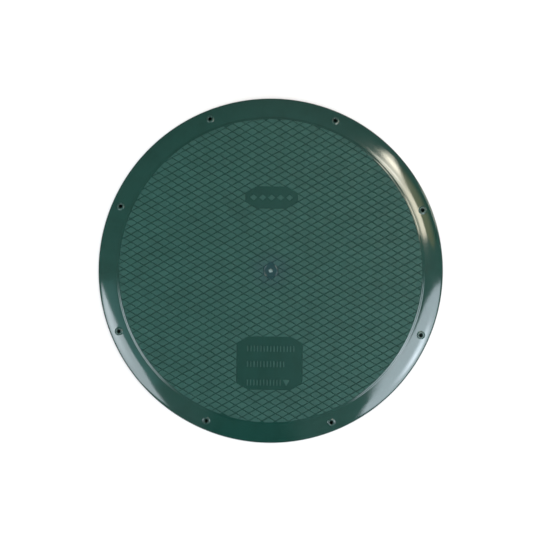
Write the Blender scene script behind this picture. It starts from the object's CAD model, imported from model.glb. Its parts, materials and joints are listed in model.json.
import json
import math

import bmesh
import bpy
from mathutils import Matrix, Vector
from mathutils.geometry import delaunay_2d_cdt


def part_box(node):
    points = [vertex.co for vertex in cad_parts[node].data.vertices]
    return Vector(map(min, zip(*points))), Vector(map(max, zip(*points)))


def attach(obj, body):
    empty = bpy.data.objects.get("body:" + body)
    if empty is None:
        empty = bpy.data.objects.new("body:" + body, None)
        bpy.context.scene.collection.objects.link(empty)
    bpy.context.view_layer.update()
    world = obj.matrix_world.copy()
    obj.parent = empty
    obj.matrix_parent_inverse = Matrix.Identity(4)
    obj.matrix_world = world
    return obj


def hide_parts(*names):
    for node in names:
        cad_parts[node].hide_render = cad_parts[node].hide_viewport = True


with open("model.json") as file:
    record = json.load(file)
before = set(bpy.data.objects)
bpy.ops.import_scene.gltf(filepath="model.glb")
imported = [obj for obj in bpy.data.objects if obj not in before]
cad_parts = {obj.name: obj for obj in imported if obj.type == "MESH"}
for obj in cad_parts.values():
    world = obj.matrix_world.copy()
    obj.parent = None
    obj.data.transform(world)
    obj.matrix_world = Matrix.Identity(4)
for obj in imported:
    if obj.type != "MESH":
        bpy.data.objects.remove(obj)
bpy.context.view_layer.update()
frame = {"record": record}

# Lengths below are in millimetres and are turned into metres as each mesh is made.
MM = 0.001
MOUNTS = {m["name"]: m for m in frame["record"]["mounts"]}
COVER_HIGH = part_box("cover")[1]
GASKET_LOW, GASKET_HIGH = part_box("gasket")

# ---- Sizes -----------------------------------------------------------------------------------
COVER_R = COVER_HIGH[0] / MM
COVER_H = COVER_HIGH[2] / MM
PAD_H = 1.5
DECK_Z = COVER_H - PAD_H
DECK_R = 304.5
PAD_CLIP_R = DECK_R - 0.6
WALL = 6.0

EDGE_W = 5.5
EDGE_DROP = 2.0
RIM_R = DECK_R + EDGE_W
RIM_SLOPE_IN = math.radians(5)
RIM_SLOPE_OUT = math.radians(25)
SHOULDER_R = 4.0
SKIRT_T = 5.0
FOOT_R = 1.0

MARK_H = 1.1
PAD_INSET = 0.75
# Side of a pad or mark: share of the inset and share of the height
PAD_SIDE = ((0.0, 0.0), (0.30, 0.78), (0.52, 0.95), (0.86, 1.0), (1.0, 1.0))
# Bead and nub of the gate mark: radius and height above the deck
GATE_BEAD = ((14.1, 0.0), (13.85, 0.42), (13.25, 0.63), (12.65, 0.42), (12.4, 0.0))
GATE_NUB = ((4.1, 0.0), (3.6, 0.70), (2.9, 1.19), (1.8, 1.435), (0.8, 1.33))

GROOVE_PITCH = 13.37
GROOVE_W = 1.15
GROOVE_ANGLE = math.radians(30)
PITCH_Y = GROOVE_PITCH / math.cos(GROOVE_ANGLE)

SCREW_COUNT = MOUNTS["screw_circle"]["dims"]["count"]
SCREW_CIRCLE_R = MOUNTS["screw_circle"]["dims"]["pcd_mm"] / 2
HOLE_R = MOUNTS["screw_circle"]["dims"]["hole_r_mm"]
SEAT_Z = MOUNTS["screw_circle"]["pos_m"][2] / MM
# Collar round a screw hole: radius from the hole's axis and height above the sloping skin
COLLAR_SECTION = (
    (8.8, 0.0), (8.3, 0.03), (7.9, 0.13), (7.5, 0.34), (7.1, 0.60), (6.6, 0.82), (6.0, 0.95),
    (5.4, 1.0), (4.8, 0.94), (4.3, 0.76), (3.9, 0.46), (3.6, 0.05), (3.5, -0.5),
)
# Steps of the section, from its foot, that are as glossy as the rim
GLOSSY_COLLAR_STEPS = 3
# Bare ring between a collar and the rim's own points
COLLAR_CLEAR = 1.2

LOCATING_R = 303.0
LOCATING_T = 4.0
LOCATING_Z = 22.0
CHANNEL_W = 12.0
CHANNEL_RIB_T = 3.5
CHANNEL_ROOT_Z = GASKET_HIGH[2] / MM
RIB_T = 3.5
RIB_Z = 25.0
RIB_COUNT = 16
RING_PITCH = 60.0
RING_COUNT = 4
# The short ribs start at the third ring
SHORT_RIB_START = 3 * RING_PITCH - RIB_T
RING_Z = RIB_Z + 4.0
HUB_R = 22.0
HUB_BORE_R = 16.0
BOSS_R = 10.0
GUSSET_T = 3.0
GUSSET_COUNT = 24
# Circles that follow the curve of the underside outside the channel, clear of the screw holes
CURVE_RADII = (321.5, 324.2, 331.8, 335.0, 338.0)
# Circles that follow the rounding of the skirt's foot: depth into the skirt
FOOT_DEPTHS = (0.3, FOOT_R, SKIRT_T - FOOT_R, SKIRT_T - 0.3, SKIRT_T)

# Air at each side of the gasket
GASKET_GAP = 0.15
GASKET_DOME = 2.6
# Room that the dome leaves for its waves above the foot of the CAD gasket
WAVE_ROOM = 0.4
# Power of the half ellipse: below 1 the dome is fuller
GASKET_FULLNESS = 0.6
# How the dome rises and sinks: height, number of waves round the ring and phase
GASKET_WAVES = ((0.18, 7, 1.0), (0.12, 17, 0.0), (0.08, 41, 2.0))

RIM_STEPS = 480
HOLE_STEPS = 32
GATE_STEPS = 48
HUB_STEPS = 64
GASKET_STEPS = 288
# Rings of points across the deck's edge, the sloping rim and the shoulder
EDGE_RINGS, RIM_RINGS, SHOULDER_RINGS = 10, 14, 8
DOME_STEPS = 14
# Points closer together than this become one, and heights closer than this are the same
WELD = 0.002
SAME_Z = 0.001
TAU = 2 * math.pi


def polar(r, a):
    return (r * math.cos(a), r * math.sin(a))


def screw_angle(i):
    return TAU / SCREW_COUNT * (i + 0.5)


# ---- Section of the cover --------------------------------------------------------------------
RIM_ARC_R = (COVER_R - SHOULDER_R * (1 - math.sin(RIM_SLOPE_OUT)) - RIM_R) / (
    math.sin(RIM_SLOPE_OUT) - math.sin(RIM_SLOPE_IN)
)
RIM_AXIS = (
    RIM_R - RIM_ARC_R * math.sin(RIM_SLOPE_IN),
    DECK_Z - EDGE_DROP - RIM_ARC_R * math.cos(RIM_SLOPE_IN),
)
RIM_END_R = RIM_AXIS[0] + RIM_ARC_R * math.sin(RIM_SLOPE_OUT)
SHOULDER_AXIS = (
    RIM_END_R - SHOULDER_R * math.sin(RIM_SLOPE_OUT),
    RIM_AXIS[1] + (RIM_ARC_R - SHOULDER_R) * math.cos(RIM_SLOPE_OUT),
)


def top_z(r):
    """Height of the skin at radius r, from the deck's edge to the shoulder."""
    if r <= DECK_R:
        return DECK_Z
    if r < RIM_R:
        return DECK_Z - EDGE_DROP * (1 - math.cos(math.pi * (r - DECK_R) / EDGE_W)) / 2
    if r <= RIM_END_R:
        return RIM_AXIS[1] + math.sqrt(RIM_ARC_R**2 - (r - RIM_AXIS[0]) ** 2)
    return SHOULDER_AXIS[1] + math.sqrt(max(0.0, SHOULDER_R**2 - (r - SHOULDER_AXIS[0]) ** 2))


def rim_radii():
    """Radii of the rings of points on the deck's edge, the sloping rim and the shoulder."""
    edge = [DECK_R + EDGE_W * i / EDGE_RINGS for i in range(EDGE_RINGS + 1)]
    rim = [RIM_R + (RIM_END_R - RIM_R) * i / RIM_RINGS for i in range(1, RIM_RINGS + 1)]
    step = (math.pi / 2 - RIM_SLOPE_OUT) / SHOULDER_RINGS
    turn = [RIM_SLOPE_OUT + step * i for i in range(1, SHOULDER_RINGS + 1)]
    return edge + rim + [SHOULDER_AXIS[0] + SHOULDER_R * math.sin(a) for a in turn]


# ---- Convex outlines -------------------------------------------------------------------------
def clip(points, normal, reach):
    """The part of a convex outline where normal . p <= reach."""
    out = []
    for i, p in enumerate(points):
        q = points[(i + 1) % len(points)]
        dp = normal[0] * p[0] + normal[1] * p[1] - reach
        dq = normal[0] * q[0] + normal[1] * q[1] - reach
        if dp <= 0:
            out.append(p)
        if dp * dq < 0:
            t = dp / (dp - dq)
            out.append((p[0] + t * (q[0] - p[0]), p[1] + t * (q[1] - p[1])))
    return out


def without_short_edges(points, shortest):
    out = []
    for p in points:
        if not out or math.dist(p, out[-1]) > shortest:
            out.append(p)
    if len(out) > 1 and math.dist(out[0], out[-1]) <= shortest:
        out.pop()
    return out


def area_of(points):
    return 0.5 * sum(
        p[0] * q[1] - p[1] * q[0] for p, q in zip(points, points[1:] + points[:1])
    )


def centre_of(points):
    n = len(points)
    return (sum(p[0] for p in points) / n, sum(p[1] for p in points) / n)


def edge_direction(points, i):
    p, q = points[i], points[(i + 1) % len(points)]
    d = math.dist(p, q)
    return ((q[0] - p[0]) / d, (q[1] - p[1]) / d), d


def with_cut_corners(points, inset):
    """Cuts each corner just enough for the outline to be inset without an edge turning over."""
    least_turn = math.radians(20)
    margin, spare, most_of_edge = 1.2, 0.15, 0.42
    out = []
    n = len(points)
    for i in range(n):
        (ax, ay), la = edge_direction(points, i - 1)
        (bx, by), lb = edge_direction(points, i)
        turn = math.acos(max(-1.0, min(1.0, ax * bx + ay * by)))
        if turn < least_turn:
            out.append(points[i])
            continue
        shrink = 2 * inset * math.tan(turn / 4)
        cut = margin * shrink / (2 * math.cos(turn / 2)) + spare
        cut = min(cut, most_of_edge * la, most_of_edge * lb)
        x, y = points[i]
        out.append((x - ax * cut, y - ay * cut))
        out.append((x + bx * cut, y + by * cut))
    return out


def inset_outline(points, inset):
    """Moves the edges of a convex, anticlockwise outline inwards by the same distance."""
    out = []
    for i in range(len(points)):
        (ax, ay), _ = edge_direction(points, i - 1)
        (bx, by), _ = edge_direction(points, i)
        nx, ny = -(ay + by), ax + bx
        scale = inset / (1 + ax * bx + ay * by)
        out.append((points[i][0] + nx * scale, points[i][1] + ny * scale))
    return out


def inner_radius(points):
    """Least distance from the outline's centre to one of its edges."""
    cx, cy = centre_of(points)
    least = math.inf
    for i, p in enumerate(points):
        (dx, dy), _ = edge_direction(points, i)
        least = min(least, (cx - p[0]) * -dy + (cy - p[1]) * dx)
    return least


# ---- Tread pads and panels -------------------------------------------------------------------
# The slanted edges of a panel would meet on the Y axis, at the reach from its middle
PANELS = {
    "small": {"y": 9.5 * PITCH_Y, "l": 105.0, "h": 44.0, "reach": 2.5 * PITCH_Y},
    "large": {"y": -12 * PITCH_Y, "l": 132.0, "h": 106.0, "reach": 5 * PITCH_Y},
}
# Pads keep this far from the gate, and those with a smaller inner radius are left out
GATE_CLEAR_R = 14.8
LEAST_PAD_R = 0.6
LEAST_PAD_EDGE = 0.5
LOZENGE_COUNT = 5
LOZENGE_PITCH = 18.0
LOZENGE_L = 15.0
LOZENGE_H = 13.0
TALLY_W = 2.6
TALLY_L = 12.0
TALLY_PITCH = 6.6
TALLY_START = -44.0
# Rows of bars on the large panel: number of bars and height of the row above the panel's middle
TALLY_ROWS = ((15, 29.0), (12, -2.0), (11, -39.0))
TRIANGLE_X = 34.0
TRIANGLE_W = 14.0
TRIANGLE_H = 13.0
TRIANGLE_TOP = -33.0


def panel_edges(panel):
    """Outward normal and distance of a panel's eight edges. Its corners follow the grooves."""
    s, c = math.sin(GROOVE_ANGLE), math.cos(GROOVE_ANGLE)
    sides = [(1, 0, panel["l"] / 2), (-1, 0, panel["l"] / 2)]
    sides += [(0, 1, panel["h"] / 2), (0, -1, panel["h"] / 2)]
    sides += [(a * s, b * c, panel["reach"] * c) for a in (-1, 1) for b in (-1, 1)]
    return [((x, y), d + y * panel["y"]) for x, y, d in sides]


def outside_panel(points, panel):
    """Keeps the part of a pad beyond the panel edge that it lies furthest out from."""
    cx, cy = centre_of(points)
    (nx, ny), reach = max(panel_edges(panel), key=lambda e: e[0][0] * cx + e[0][1] * cy - e[1])
    return clip(points, (-nx, -ny), -reach)


def inside_circle(points, radius):
    """Clips an outline by tangents of the circle, one degree apart."""
    cx, cy = centre_of(points)
    middle = math.atan2(cy, cx)
    for k in range(-6, 7):
        a = middle + math.radians(1.0) * k
        points = clip(points, (math.cos(a), math.sin(a)), radius)
    return points


def pad_outline(i, j):
    """Outline of the pad between grooves i and i + 1 one way and j and j + 1 the other."""
    half = (GROOVE_PITCH - GROOVE_W) / 2
    s, c = math.sin(GROOVE_ANGLE), math.cos(GROOVE_ANGLE)
    points = []
    for u, v in ((-1, -1), (-1, 1), (1, 1), (1, -1)):
        a = (i + 0.5) * GROOVE_PITCH + u * half
        b = (j + 0.5) * GROOVE_PITCH + v * half
        # a = -s x + c y and b = s x + c y are the distances along the two families' normals
        points.append(((b - a) / (2 * s), (a + b) / (2 * c)))
    return points if area_of(points) > 0 else points[::-1]


def tread_pads():
    """Outlines of all pads, clipped by the deck's edge, the panels and the gate mark."""
    count = math.ceil(DECK_R / GROOVE_PITCH)
    pads = []
    for i in range(-count - 1, count + 1):
        for j in range(-count - 1, count + 1):
            points = pad_outline(i, j)
            cx, cy = centre_of(points)
            distance = math.hypot(cx, cy)
            if distance > PAD_CLIP_R + GROOVE_PITCH:
                continue
            if distance > PAD_CLIP_R - 2 * GROOVE_PITCH:
                points = inside_circle(points, PAD_CLIP_R)
            if distance < 3 * GROOVE_PITCH:
                points = clip(points, (-cx / distance, -cy / distance), -GATE_CLEAR_R)
            for panel in PANELS.values():
                if len(points) > 2 and abs(cy - panel["y"]) < panel["h"]:
                    points = outside_panel(points, panel)
            points = without_short_edges(points, LEAST_PAD_EDGE)
            if len(points) > 2 and inner_radius(points) > LEAST_PAD_R:
                pads.append(points)
    return pads


def rectangle(x, y, w, h):
    return [
        (x - w / 2, y - h / 2), (x + w / 2, y - h / 2),
        (x + w / 2, y + h / 2), (x - w / 2, y + h / 2),
    ]


def panel_marks():
    """Plain raised marks: a row of lozenges, rows of upright bars and a triangle."""
    marks = []
    y = PANELS["small"]["y"]
    for k in range(LOZENGE_COUNT):
        x = (k - (LOZENGE_COUNT - 1) / 2) * LOZENGE_PITCH
        marks.append([
            (x + LOZENGE_L / 2, y), (x, y + LOZENGE_H / 2),
            (x - LOZENGE_L / 2, y), (x, y - LOZENGE_H / 2),
        ])
    y = PANELS["large"]["y"]
    for count, row in TALLY_ROWS:
        for k in range(count):
            marks.append(rectangle(TALLY_START + TALLY_PITCH * k, y + row, TALLY_W, TALLY_L))
    top = y + TRIANGLE_TOP
    marks.append([
        (TRIANGLE_X - TRIANGLE_W / 2, top), (TRIANGLE_X, top - TRIANGLE_H),
        (TRIANGLE_X + TRIANGLE_W / 2, top),
    ])
    return marks


# ---- Mesh building ---------------------------------------------------------------------------
class Skin:
    """Collects points in millimetres and faces with a material number."""

    def __init__(self):
        self.points, self.faces, self.kinds = [], [], []

    def point(self, x, y, z):
        self.points.append((x, y, z))
        return len(self.points) - 1

    def face(self, corners, kind):
        out = []
        for c in corners:
            if c not in out:
                out.append(c)
        if len(out) > 2:
            self.faces.append(out)
            self.kinds.append(kind)

    def bridge(self, a, b, kind):
        """Quads between two rings with the same number of points."""
        n = len(a)
        for i in range(n):
            k = (i + 1) % n
            self.face([a[i], a[k], b[k], b[i]], kind)


def triangulate(points, edges, faces):
    """Constrained triangles: their corners, the triangles and the input faces each lies in."""
    whole_hull, least_apart = 0, 1e-5
    flat = [Vector(p) for p in points]
    out = delaunay_2d_cdt(flat, edges, faces, whole_hull, least_apart, True)
    return out[0], out[2], out[5]


def loop_edges(start, n):
    return [(start + i, start + (i + 1) % n) for i in range(n)]


# Material numbers of the cover, in the order in which its materials are added
SMOOTH, TREAD, UNDER, GATE = 0, 1, 2, 3


def raised_pad(skin, outline, base_z, height, kind):
    """A pad or mark with drafted sides and a rounded upper edge. Returns its foot."""
    inset = min(PAD_INSET, 0.5 * inner_radius(outline))
    outline = with_cut_corners(outline, inset)
    rings = []
    for share, rise in PAD_SIDE:
        ring = inset_outline(outline, inset * share)
        rings.append([skin.point(x, y, base_z + height * rise) for x, y in ring])
    for k in range(len(rings) - 1):
        skin.bridge(rings[k], rings[k + 1], kind)
    skin.face(rings[-1], kind)
    return outline, rings[0]


def gate_mark(skin):
    """Low bead round the gate and the rough nub in its middle. Returns its foot."""
    angles = [TAU * k / GATE_STEPS for k in range(GATE_STEPS)]
    rings = []
    for r, rise in GATE_BEAD + GATE_NUB:
        rings.append([skin.point(*polar(r, a), DECK_Z + rise) for a in angles])
    for k in range(len(rings) - 1):
        skin.bridge(rings[k], rings[k + 1], GATE if k >= len(GATE_BEAD) else SMOOTH)
    skin.face(rings[-1], GATE)
    return [polar(GATE_BEAD[0][0], a) for a in angles], rings[0]


def add_deck(skin, edge_ring):
    """Floor of the deck with everything that stands on it."""
    outlines = []
    for outline in tread_pads():
        outlines.append(raised_pad(skin, outline, DECK_Z, PAD_H, TREAD))
    for outline in panel_marks():
        outlines.append(raised_pad(skin, outline, DECK_Z, MARK_H, TREAD))
    outlines.append(gate_mark(skin))
    points = [polar(DECK_R, TAU * k / RIM_STEPS) for k in range(RIM_STEPS)]
    ids = list(edge_ring)
    faces = []
    for outline, ring in outlines:
        faces.append(list(range(len(points), len(points) + len(outline))))
        points += outline
        ids += ring
    where, triangles, inside = triangulate(points, loop_edges(0, RIM_STEPS), faces)
    nearest = match_points(where, points, ids)
    for corners, source in zip(triangles, inside):
        if not source:
            skin.face([nearest[c] for c in corners], SMOOTH)


def match_points(where, points, ids):
    """Which mesh point each triangulated corner is, by its place to a micrometre or so."""
    table = {(round(x, 3), round(y, 3)): i for (x, y), i in zip(points, ids)}
    steps = (0.0, -0.001, 0.001)
    found = []
    for p in where:
        near = [(round(p.x + a, 3), round(p.y + b, 3)) for a in steps for b in steps]
        found.append(next(table[place] for place in near if place in table))
    return found


def screw_hole(skin, cx, cy):
    """Collar and bore of one screw hole. Returns the ring round the collar's foot."""
    angles = [TAU * k / HOLE_STEPS for k in range(HOLE_STEPS)]
    rings = []
    for rho, rise in COLLAR_SECTION:
        around = [(cx + rho * math.cos(a), cy + rho * math.sin(a)) for a in angles]
        rings.append([skin.point(x, y, top_z(math.hypot(x, y)) + rise) for x, y in around])
    around = [(cx + HOLE_R * math.cos(a), cy + HOLE_R * math.sin(a)) for a in angles]
    rings.append([skin.point(x, y, SEAT_Z) for x, y in around])
    for k in range(len(rings) - 1):
        skin.bridge(rings[k], rings[k + 1], SMOOTH if k < GLOSSY_COLLAR_STEPS else UNDER)
    return rings[0]


def add_rim(skin):
    """Deck edge, sloping rim and shoulder with the screw holes. Returns inner and outer ring."""
    centres = [polar(SCREW_CIRCLE_R, screw_angle(i)) for i in range(SCREW_COUNT)]
    clear = COLLAR_SECTION[0][0] + COLLAR_CLEAR
    points, ids, rings = [], [], []
    for r in rim_radii():
        ring = []
        for k in range(RIM_STEPS):
            x, y = polar(r, TAU * k / RIM_STEPS)
            if any(math.dist((x, y), c) < clear for c in centres):
                continue
            ring.append(skin.point(x, y, top_z(r)))
            points.append((x, y))
        ids += ring
        rings.append(ring)
    edges = loop_edges(0, RIM_STEPS)
    edges += loop_edges(len(points) - RIM_STEPS, RIM_STEPS)
    faces = [list(range(RIM_STEPS))]
    for centre in centres:
        lip = screw_hole(skin, *centre)
        faces.append(list(range(len(points), len(points) + HOLE_STEPS)))
        points += [skin.points[i][:2] for i in lip]
        ids += lip
    where, triangles, inside = triangulate(points, edges, faces)
    nearest = match_points(where, points, ids)
    for corners, source in zip(triangles, inside):
        if not source:
            skin.face([nearest[c] for c in corners], SMOOTH)
    return rings[0], rings[-1]


# ---- Underside -------------------------------------------------------------------------------
def under_z(r):
    """Height of the underside between the ribs."""
    if r <= LOCATING_R - LOCATING_T / 2:
        return DECK_Z - WALL
    if r <= LOCATING_R + CHANNEL_W + 1:
        return CHANNEL_ROOT_Z
    across = min(r, RIM_END_R) - RIM_AXIS[0]
    return RIM_AXIS[1] + math.sqrt((RIM_ARC_R - WALL) ** 2 - across**2)


def foot_z(r):
    """Rounded foot of the skirt."""
    inner, outer = COVER_R - SKIRT_T, COVER_R
    depth = round(min(r - inner, outer - r), 3)
    if depth >= FOOT_R:
        return 0.0
    return FOOT_R - math.sqrt(max(0.0, FOOT_R**2 - (FOOT_R - depth) ** 2))


def on_rib(x, y, turn, offset, start):
    """Is the point on one of the ribs spaced by turn?"""
    a = math.atan2(y, x) - offset
    a -= turn * round(a / turn)
    r = math.hypot(x, y)
    return r > start and abs(r * math.sin(a)) < RIB_T / 2


def underside_kind(x, y):
    """What is at this point, and the height of its foot, or None where that isn't a flat foot."""
    r = math.hypot(x, y)
    if r > COVER_R - SKIRT_T:
        return "skirt", None
    if LOCATING_R - LOCATING_T < r < LOCATING_R:
        return "locating", LOCATING_Z
    if HUB_BORE_R < r < HUB_R:
        return "hub", LOCATING_Z
    if r < HUB_BORE_R:
        return "skin", None
    if r < LOCATING_R:
        turn = TAU / RIB_COUNT
        if on_rib(x, y, turn, 0.0, HUB_BORE_R):
            return "rib", RIB_Z
        if on_rib(x, y, turn, turn / 2, SHORT_RIB_START):
            return "rib", RIB_Z
        k = math.ceil(r / RING_PITCH)
        if k <= RING_COUNT and k * RING_PITCH - RIB_T < r:
            return "ring", RING_Z
        return "skin", None
    if LOCATING_R + CHANNEL_W < r < LOCATING_R + CHANNEL_W + CHANNEL_RIB_T:
        return "seat", SEAT_Z
    for i in range(SCREW_COUNT):
        if math.dist((x, y), polar(SCREW_CIRCLE_R, screw_angle(i))) < BOSS_R:
            return "seat", SEAT_Z
    if r > LOCATING_R + CHANNEL_W:
        turn = TAU / GUSSET_COUNT
        a = math.atan2(y, x)
        a -= turn * round(a / turn)
        if abs(r * math.sin(a)) < GUSSET_T / 2:
            return "seat", SEAT_Z
        return "skin", None
    return "channel", None


def underside_level(kind, foot, r):
    if kind == "skirt":
        return foot_z(r)
    if kind == "channel":
        return CHANNEL_ROOT_Z
    return under_z(r) if foot is None else foot


def underside_outlines():
    """Every line in plan where the underside's height changes."""
    points, edges = [], []

    def loop(ring):
        edges.extend(loop_edges(len(points), len(ring)))
        points.extend(ring)

    def circle(r, steps, centre=(0.0, 0.0)):
        around = [polar(r, TAU * k / steps) for k in range(steps)]
        loop([(centre[0] + x, centre[1] + y) for x, y in around])

    def spoke(angle, r0, r1, t):
        c, s = math.cos(angle), math.sin(angle)
        corners = ((r0, -t / 2), (r1, -t / 2), (r1, t / 2), (r0, t / 2))
        loop([(c * x - s * y, s * x + c * y) for x, y in corners])

    circle(COVER_R, RIM_STEPS)
    for depth in FOOT_DEPTHS:
        circle(COVER_R - depth, RIM_STEPS)
    for r in (HUB_BORE_R, HUB_R):
        circle(r, HUB_STEPS)
    for k in range(1, RING_COUNT + 1):
        steps = HUB_STEPS * (k + 1)
        circle(k * RING_PITCH - RIB_T, steps)
        circle(k * RING_PITCH, steps)
    channel = LOCATING_R + CHANNEL_W
    for r in (LOCATING_R - LOCATING_T, LOCATING_R, channel, channel + CHANNEL_RIB_T):
        circle(r, RIM_STEPS)
    for r in CURVE_RADII:
        circle(r, RIM_STEPS)
    rib_end = LOCATING_R - LOCATING_T + 1
    for i in range(RIB_COUNT):
        angle = TAU / RIB_COUNT * i
        spoke(angle, HUB_R - 1, rib_end, RIB_T)
        spoke(angle + math.pi / RIB_COUNT, SHORT_RIB_START, rib_end, RIB_T)
    # Just far enough into the skirt for both corners of a gusset to lie beyond its inner face
    gusset_end = COVER_R - SKIRT_T + 0.15
    for i in range(GUSSET_COUNT):
        spoke(TAU / GUSSET_COUNT * i, channel + 1, gusset_end, GUSSET_T)
    for i in range(SCREW_COUNT):
        centre = polar(SCREW_CIRCLE_R, screw_angle(i))
        circle(BOSS_R, HOLE_STEPS, centre)
        circle(HOLE_R, HOLE_STEPS, centre)
    return points, edges


def add_underside(skin):
    """Ribs, rings, channel, bosses and skirt: feet and upright walls. Returns outer ring."""
    points, edges = underside_outlines()
    where, triangles, _ = triangulate(points, edges, [])
    where = [(p.x, p.y) for p in where]
    centres = [polar(SCREW_CIRCLE_R, screw_angle(i)) for i in range(SCREW_COUNT)]
    made, levels, sides = {}, {}, {}

    def corner(v, z):
        key = (v, round(z, 4))
        if key not in made:
            made[key] = skin.point(*where[v], z)
        return made[key]

    flat = []
    for corners in triangles:
        cx, cy = centre_of([where[c] for c in corners])
        if any(math.dist((cx, cy), c) < HOLE_R for c in centres):
            continue
        kind, foot = underside_kind(cx, cy)
        heights = [underside_level(kind, foot, math.hypot(*where[c])) for c in corners]
        flat.append((corners, heights))
        for k in range(3):
            a, b = corners[k], corners[(k + 1) % 3]
            sides[(a, b)] = (heights[k], heights[(k + 1) % 3])
        for c, z in zip(corners, heights):
            levels.setdefault(c, set()).add(round(z, 4))
    for corners, heights in flat:
        skin.face([corner(c, z) for c, z in zip(corners, heights)][::-1], UNDER)

    def between(v, z0, z1):
        """Corners at v strictly between two heights, in order from z0 to z1."""
        inner = sorted(z for z in levels[v] if min(z0, z1) + SAME_Z < z < max(z0, z1) - SAME_Z)
        return [corner(v, z) for z in (inner if z0 < z1 else inner[::-1])]

    for (a, b), (za, zb) in sides.items():
        if a > b or (b, a) not in sides:
            continue
        wb, wa = sides[(b, a)]
        if abs(za - wa) < SAME_Z and abs(zb - wb) < SAME_Z:
            continue
        wall = [corner(a, za)] + between(a, za, wa) + [corner(a, wa), corner(b, wb)]
        wall += between(b, wb, zb) + [corner(b, zb)]
        skin.face(wall, UNDER)
    outer = []
    for k in range(RIM_STEPS):
        x, y = polar(COVER_R, TAU * k / RIM_STEPS)
        outer.append(skin.point(x, y, foot_z(COVER_R)))
    return outer


def finish_mesh(name, skin, sharp):
    """Makes the object, welds coincident points and sets its sharp edges."""
    mesh = bpy.data.meshes.new(name)
    mesh.from_pydata([tuple(c * MM for c in p) for p in skin.points], [], skin.faces)
    mesh.polygons.foreach_set("material_index", skin.kinds)
    mesh.polygons.foreach_set("use_smooth", [True] * len(mesh.polygons))
    edit = bmesh.new()
    edit.from_mesh(mesh)
    bmesh.ops.remove_doubles(edit, verts=edit.verts, dist=WELD * MM)
    bmesh.ops.triangulate(edit, faces=[f for f in edit.faces if len(f.verts) > 4])
    bmesh.ops.recalc_face_normals(edit, faces=edit.faces)
    edit.to_mesh(mesh)
    edit.free()
    mesh.set_sharp_from_angle(angle=sharp)
    piece = bpy.data.objects.new(name, mesh)
    bpy.context.scene.collection.objects.link(piece)
    return piece


def make_cover():
    skin = Skin()
    edge_ring, shoulder_ring = add_rim(skin)
    add_deck(skin, edge_ring)
    foot_ring = add_underside(skin)
    skin.bridge(shoulder_ring, foot_ring, SMOOTH)
    return finish_mesh("cover_moulding", skin, sharp=math.radians(32))


cover = make_cover()
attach(cover, "root")
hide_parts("cover")


def make_gasket():
    """Foam ring poured into the channel, with a domed face that isn't quite even."""
    low, high = GASKET_LOW[2] / MM, GASKET_HIGH[2] / MM
    inner = LOCATING_R + GASKET_GAP
    width = CHANNEL_W - 2 * GASKET_GAP
    outer = inner + width
    middle = 0.5 * (low + GASKET_DOME + high)
    brim = low + WAVE_ROOM + GASKET_DOME
    skin = Skin()
    rings = []
    for k in range(GASKET_STEPS):
        a = TAU * k / GASKET_STEPS
        sag = sum(h * math.sin(waves * a + phase) for h, waves, phase in GASKET_WAVES)
        ring = [skin.point(*polar(inner, a), high), skin.point(*polar(inner, a), middle)]
        for i in range(DOME_STEPS + 1):
            t = math.pi * i / DOME_STEPS
            across = width / 2 * (1 - math.cos(t))
            full = math.sin(t) ** GASKET_FULLNESS if 0 < i < DOME_STEPS else 0.0
            ring.append(skin.point(*polar(inner + across, a), brim - (GASKET_DOME + sag) * full))
        ring += [skin.point(*polar(outer, a), middle), skin.point(*polar(outer, a), high)]
        rings.append(ring)
    for k in range(GASKET_STEPS):
        skin.bridge(rings[k], rings[(k + 1) % GASKET_STEPS], 0)
    return finish_mesh("foam_gasket", skin, sharp=math.radians(50))


gasket = make_gasket()
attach(gasket, "root")
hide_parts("gasket")


# ---- Materials -------------------------------------------------------------------------------
GREEN = (0.0079, 0.0400, 0.0308)
GATE_BLUE = (0.0110, 0.0380, 0.0440)
WORN_GREEN = (0.0150, 0.0610, 0.0490)
MATT_GREEN = (0.0105, 0.0565, 0.0440)
RUBBED_GREEN = (0.0190, 0.0755, 0.0612)
NUB_GREY = (0.30, 0.37, 0.36)
PLASTIC_IOR = 1.6
FOAM = (0.016, 0.016, 0.017)
PORE = (0.006, 0.006, 0.0065)
DUST = (0.045, 0.044, 0.042)


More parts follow.
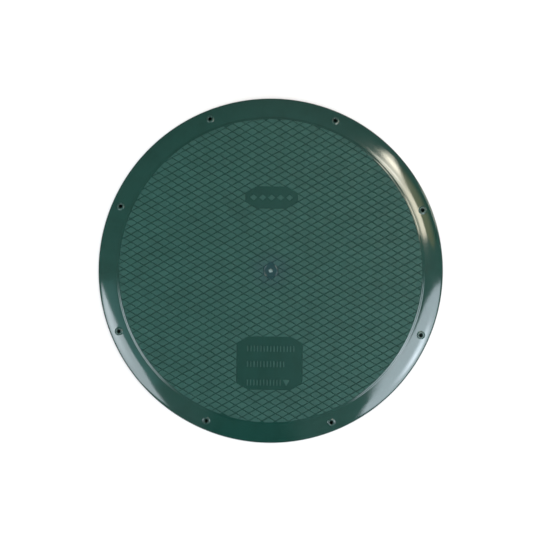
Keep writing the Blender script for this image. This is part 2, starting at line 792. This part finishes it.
class Graph:
    """Short ways to add nodes to one material."""

    def __init__(self, name, world=None):
        self.material = world or bpy.data.materials.new(name)
        self.material.use_nodes = True
        self.tree = self.material.node_tree
        self.shader = self.tree.nodes.get("Principled BSDF")
        coordinates = self.tree.nodes.new("ShaderNodeTexCoord")
        self.place = coordinates.outputs["Object"]
        self.way = coordinates.outputs["Generated"]

    def put(self, socket, value):
        if isinstance(value, bpy.types.NodeSocket):
            self.tree.links.new(value, socket)
        else:
            socket.default_value = value

    def shade(self, name, value):
        self.put(self.shader.inputs[name], value)

    def node(self, kind, inputs, **settings):
        made = self.tree.nodes.new(kind)
        for key, value in settings.items():
            setattr(made, key, value)
        for key, value in inputs.items():
            self.put(made.inputs[key], value)
        return made

    def noise(self, scale, detail=3.0, roughness=0.5, place=None, distortion=0.0):
        inputs = {
            "Vector": place or self.place, "Scale": scale, "Detail": detail,
            "Roughness": roughness, "Distortion": distortion,
        }
        return self.node("ShaderNodeTexNoise", inputs).outputs["Fac"]

    def math(self, operation, *values):
        made = self.node("ShaderNodeMath", dict(enumerate(values)), operation=operation)
        return made.outputs[0]

    def vector(self, operation, *values):
        made = self.node("ShaderNodeVectorMath", dict(enumerate(values)), operation=operation)
        return made.outputs["Value" if operation == "LENGTH" else "Vector"]

    def dot(self, first, second):
        inputs = {0: first, 1: second}
        return self.node("ShaderNodeVectorMath", inputs, operation="DOT_PRODUCT").outputs["Value"]

    def between(self, value, low, high, to_low=0.0, to_high=1.0):
        """Smooth change from to_low to to_high as the value goes from low to high."""
        inputs = {0: value, 1: low, 2: high, 3: to_low, 4: to_high}
        made = self.node("ShaderNodeMapRange", inputs, interpolation_type="SMOOTHSTEP")
        return made.outputs[0]

    def blend(self, share, first, second):
        inputs = {0: share, 6: (*first, 1) if isinstance(first, tuple) else first,
                  7: (*second, 1) if isinstance(second, tuple) else second}
        return self.node("ShaderNodeMix", inputs, data_type="RGBA").outputs[2]

    def bump(self, height, depth, under=None):
        """Relief of the given depth in metres, on top of another relief."""
        inputs = {"Height": height, "Distance": depth, "Strength": 1.0}
        if under is not None:
            inputs["Normal"] = under
        return self.node("ShaderNodeBump", inputs).outputs["Normal"]

    def flat_place(self):
        return self.vector("MULTIPLY", self.place, (1.0, 1.0, 0.0))

    def flow(self):
        """Streaks in the melt that run outwards from the gate."""
        flat = self.flat_place()
        way = self.vector("NORMALIZE", flat)
        spread = self.vector("ADD", way, self.vector("MULTIPLY", flat, (1.6, 1.6, 0.0)))
        return self.noise(7.0, 4.0, 0.6, place=spread)

    def scuffs(self, angle, scale):
        """Thin, short scratches along one direction."""
        turned = self.node("ShaderNodeMapping", {
            "Vector": self.place, "Rotation": (0.0, 0.0, angle), "Scale": (1.0, 14.0, 1.0),
        }).outputs["Vector"]
        return self.between(self.noise(scale, 2.0, 0.5, place=turned), 0.66, 0.74)


def moulded_colour(g, green=GREEN):
    """Green melt with mottling, streaks from the gate and a bluish bloom round it."""
    mottle = g.between(g.noise(26.0, 5.0, 0.6, distortion=0.4), 0.35, 0.65)
    colour = g.blend(mottle, tuple(c * 0.88 for c in green), green)
    streaks = g.between(g.flow(), 0.38, 0.66, 0.0, 0.55)
    colour = g.blend(streaks, colour, (green[0] * 1.15, green[1] * 1.08, green[2] * 1.12))
    distance = g.vector("LENGTH", g.flat_place())
    ragged = g.math("MULTIPLY_ADD", g.noise(38.0, 4.0), 0.03, distance)
    bloom = g.between(ragged, 0.020, 0.068, 0.75, 0.0)
    return g.blend(bloom, colour, GATE_BLUE)


def smooth_plastic():
    """Glossy skin of the rim, the grooves and the panels."""
    g = Graph("moulded_gloss")
    colour = moulded_colour(g)
    scuffs = g.math("MAXIMUM", g.scuffs(0.4, 55.0), g.scuffs(2.1, 70.0))
    worn = g.math("MULTIPLY", scuffs, g.between(g.noise(9.0, 2.0), 0.45, 0.7, 0.0, 0.5))
    g.shade("Base Color", g.blend(worn, colour, WORN_GREEN))
    haze = g.between(g.noise(14.0, 4.0, 0.6), 0.3, 0.7, 0.07, 0.12)
    g.shade("Roughness", g.math("ADD", haze, g.math("MULTIPLY", worn, 0.25)))
    g.shade("IOR", PLASTIC_IOR)
    waves = g.bump(g.noise(16.0, 1.0), 0.00015)
    peel = g.bump(g.noise(260.0, 2.0), 0.00002, waves)
    grain = g.bump(g.noise(1500.0, 2.0, 0.6), 0.000012, peel)
    g.shade("Normal", grain)
    return g.material


def tread_plastic():
    """Etched, matt tops of the tread pads and marks."""
    g = Graph("moulded_matt")
    colour = moulded_colour(g, MATT_GREEN)
    rub = g.between(g.noise(60.0, 5.0, 0.65), 0.42, 0.68, 0.0, 0.5)
    g.shade("Base Color", g.blend(rub, colour, RUBBED_GREEN))
    g.shade("Roughness", g.between(g.noise(90.0, 4.0), 0.3, 0.7, 0.44, 0.60))
    g.shade("IOR", PLASTIC_IOR)
    g.shade("Specular IOR Level", 0.25)
    etch = g.bump(g.noise(700.0, 3.0, 0.7), 0.00016)
    g.shade("Normal", g.bump(g.noise(2400.0, 2.0, 0.6), 0.00005, etch))
    return g.material


def under_plastic():
    """Satin skin of the ribs and the hollow, less polished than the top."""
    g = Graph("moulded_satin")
    g.shade("Base Color", moulded_colour(g))
    g.shade("Roughness", g.between(g.noise(30.0, 4.0, 0.6), 0.3, 0.7, 0.28, 0.42))
    g.shade("IOR", PLASTIC_IOR)
    sink = g.bump(g.noise(22.0, 2.0), 0.0003)
    g.shade("Normal", g.bump(g.noise(900.0, 3.0, 0.6), 0.00004, sink))
    return g.material


def gate_plastic():
    """Torn, pale plastic where the gate broke off."""
    g = Graph("moulded_torn")
    tear = g.between(g.noise(420.0, 4.0, 0.7), 0.4, 0.6)
    g.shade("Base Color", g.blend(tear, WORN_GREEN, NUB_GREY))
    g.shade("Roughness", g.between(tear, 0.0, 1.0, 0.28, 0.5))
    g.shade("Normal", g.bump(g.noise(600.0, 3.0, 0.7), 0.0003))
    return g.material


def gasket_foam():
    """Closed-cell foam: a dull, slightly dusty skin pitted with pores."""
    g = Graph("gasket_foam")
    pores = g.node("ShaderNodeTexVoronoi", {"Vector": g.place, "Scale": 900.0})
    pits = g.between(pores.outputs["Distance"], 0.12, 0.42)
    dust = g.between(g.noise(45.0, 4.0, 0.6), 0.45, 0.7, 0.0, 0.35)
    g.shade("Base Color", g.blend(dust, g.blend(pits, PORE, FOAM), DUST))
    g.shade("Roughness", g.between(g.noise(120.0, 3.0), 0.3, 0.7, 0.72, 0.9))
    swell = g.bump(g.noise(70.0, 2.0), 0.0006)
    g.shade("Normal", g.bump(pits, 0.00025, swell))
    return g.material


for make in (smooth_plastic, tread_plastic, under_plastic, gate_plastic):
    cover.data.materials.append(make())
gasket.data.materials.append(gasket_foam())


# ---- Stage -----------------------------------------------------------------------------------
def polygon_object(name, corners, z, material):
    mesh = bpy.data.meshes.new(name)
    mesh.from_pydata([(x, y, z) for x, y in corners], [], [list(range(len(corners)))])
    mesh.materials.append(material)
    made = bpy.data.objects.new(name, mesh)
    bpy.context.scene.collection.objects.link(made)
    return made


# Stage sizes are in metres
LAMP_Z = 2.6
CAMERA_PLACE = (-0.0014, 0.0014, 4.6)
CAMERA_TURN = math.radians(0.75)
CAMERA_LENS = 151.2
RIM_PLANE_Z = 0.05
FLOOR_HALF = 20.0
FLOOR_Z = -0.0010
SHADED_FLOOR_Z = -0.0005
SHADED_FLOOR_STEPS = 96
# The floor's own light fades out between these shares of the cover's radius
FADE_START, FADE_END = 0.97, 1.03
FLOOR_LIGHT = 0.85


def aim(azimuth, r):
    """Where the camera's ray meets the lamps' plane when the rim mirrors it at this place."""
    slope = math.asin((r - RIM_AXIS[0]) / RIM_ARC_R)
    zenith = 2 * slope + math.atan(r * MM / (CAMERA_PLACE[2] - RIM_PLANE_Z))
    return polar(r * MM + (LAMP_Z - RIM_PLANE_Z) * math.tan(zenith), math.radians(azimuth))


# Corners and hot spots are where the rim mirrors them: azimuth in degrees, radius in millimetres.
# A radius past the rim's end stands for a steeper slope, which only the deck's edge has. A drop
# in metres puts a lamp in front of another, and one whose matt is False shows in the gloss only.
LAMPS = {
    "left_box": {
        "colour": (0.84, 0.93, 1.0), "cloth": 6.3, "spot": 3.9, "hot": (198, 337), "reach": 1.2,
        "corners": [
            (185, 341), (195, 329), (206, 322), (218, 322.5), (226, 332), (233, 341),
            (221, 347), (209, 348), (197, 347),
        ],
    },
    "left_card": {
        "colour": (0.55, 0.95, 1.0), "cloth": 0.9, "spot": 0.3, "hot": (205, 322), "reach": 1.0,
        "corners": [
            (185, 312), (225, 312), (226, 332), (218, 322.5), (206, 322), (195, 329), (185, 341),
        ],
    },
    "right_box": {
        "colour": (0.81, 0.91, 1.0), "cloth": 7.0, "spot": 10.5, "hot": (331, 337), "reach": 0.85,
        "corners": [
            (302.5, 344), (304.5, 334), (309, 325.5), (311.5, 318), (313, 312), (325, 308),
            (336, 312), (347.5, 315), (351, 321), (354.5, 329), (357, 343), (343, 347),
            (329, 349), (315, 347),
        ],
    },
    "warm_low": {
        "colour": (1.0, 0.90, 0.70), "cloth": 10.0, "spot": 3.0, "hot": (22, 316), "reach": 0.8,
        "corners": [(13, 312), (13, 321), (33, 321.5), (33, 312)],
    },
    "warm_card": {
        "colour": (1.0, 0.80, 0.38), "cloth": 0.1, "spot": 1.75, "hot": (20, 325), "reach": 1.5,
        "corners": [
            (13, 321), (9, 330), (11, 341), (30, 341), (43, 337), (34, 321), (33, 321.5),
        ],
    },
    "warm_high": {
        "colour": (1.0, 0.93, 0.76), "cloth": 9.5, "spot": 13.5, "hot": (42, 326), "reach": 0.6,
        "corners": [(33, 310), (34, 321), (43, 337), (46.5, 335), (46.5, 310)],
    },
    "warm_inner_strip": {
        "colour": (1.0, 0.95, 0.82), "cloth": 19.0, "spot": 0.0, "hot": (40, 315), "reach": 1.0,
        "corners": [(34, 313.3), (34.5, 316.3), (48, 314.5), (48, 312)], "drop": 0.02,
    },
    "warm_outer_strip": {
        "colour": (1.0, 0.92, 0.75), "cloth": 10.0, "spot": 6.0, "hot": (20, 349), "reach": 1.5,
        "corners": [(14, 346.5), (16, 353), (29, 353), (30, 346.5)], "matt": False,
    },
}


def softbox(name, lamp):
    """Flat lit cloth in the lamps' plane, brighter round its hot spot."""
    g = Graph(name)
    g.tree.nodes.remove(g.shader)
    hot = (*aim(*lamp["hot"]), LAMP_Z)
    away = g.vector("LENGTH", g.vector("SUBTRACT", g.place, hot))
    brightness = g.between(away, 0.0, lamp["reach"], lamp["cloth"] + lamp["spot"], lamp["cloth"])
    light = g.node("ShaderNodeEmission", {"Color": (*lamp["colour"], 1), "Strength": brightness})
    g.put(g.tree.nodes["Material Output"].inputs["Surface"], light.outputs[0])
    height = LAMP_Z - lamp.get("drop", 0.0)
    box = polygon_object(name, [aim(*c) for c in lamp["corners"]], height, g.material)
    box.visible_camera = False
    box.visible_shadow = False
    box.visible_diffuse = lamp.get("matt", True)


def add_floor():
    """Pale floor that is white round the cover and dark under it."""
    g = Graph("pale_floor")
    tone = g.between(g.noise(3.0, 2.0), 0.3, 0.7)
    g.shade("Base Color", g.blend(tone, (0.24, 0.24, 0.24), (0.26, 0.26, 0.26)))
    g.shade("Roughness", 0.9)
    g.shade("Specular IOR Level", 0.0)
    g.shade("Emission Color", (1.0, 1.0, 1.0, 1.0))
    away = g.vector("LENGTH", g.flat_place())
    edge = COVER_R * MM
    light = g.between(away, FADE_START * edge, FADE_END * edge, 0.0, FLOOR_LIGHT)
    g.shade("Emission Strength", light)
    corners = rectangle(0.0, 0.0, 2 * FLOOR_HALF, 2 * FLOOR_HALF)
    floor = polygon_object("floor", corners, FLOOR_Z, g.material)
    floor.visible_glossy = False
    # Only the part under the cover shows in the gloss, as the dark inside of the holes
    step = TAU / SHADED_FLOOR_STEPS
    corners = [polar(FADE_START * edge, step * k) for k in range(SHADED_FLOOR_STEPS)]
    polygon_object("shaded_floor", corners, SHADED_FLOOR_Z, g.material)


def add_fill():
    """Low light at the left of the bench. It has no mirror image in the gloss."""
    data = bpy.data.lights.new("fill", "AREA")
    data.size = 0.8
    data.energy = 5.0
    lamp = bpy.data.objects.new("fill", data)
    bpy.context.scene.collection.objects.link(lamp)
    lamp.location = (*polar(1.1, math.radians(158)), 0.45)
    lamp.rotation_euler = lamp.location.to_track_quat("Z", "Y").to_euler()
    lamp.visible_glossy = False


def add_camera():
    """Long lens straight above the cover, with the photo's slight turn and shift."""
    data = bpy.data.cameras.new("camera")
    data.sensor_width = 36.0
    data.lens = CAMERA_LENS
    camera = bpy.data.objects.new("camera", data)
    bpy.context.scene.collection.objects.link(camera)
    camera.location = CAMERA_PLACE
    camera.rotation_euler = (0.0, 0.0, CAMERA_TURN)
    bpy.context.scene.camera = camera


def add_world():
    """Dim room with a dark stand behind the cover's lower edge."""
    g = Graph("room", bpy.data.worlds.new("room"))
    way = g.vector("NORMALIZE", g.vector("MULTIPLY", g.way, (1.0, 1.0, 0.0)))
    stand = g.dot(way, (*polar(1.0, math.radians(264)), 0.0))
    wall = g.dot(way, (*polar(1.0, math.radians(140)), 0.0))
    room = g.between(wall, 0.6, 1.0, 0.28, 0.17)
    room = g.math("MULTIPLY", room, g.between(stand, 0.94, 0.985, 1.0, 0.05))
    background = g.tree.nodes["Background"]
    g.put(background.inputs["Color"], (0.94, 0.97, 1.0, 1.0))
    g.put(background.inputs["Strength"], room)
    bpy.context.scene.world = g.material
    bpy.context.scene.view_settings.view_transform = "Standard"


add_floor()
for name, lamp in LAMPS.items():
    softbox(name, lamp)
add_fill()
add_camera()
add_world()
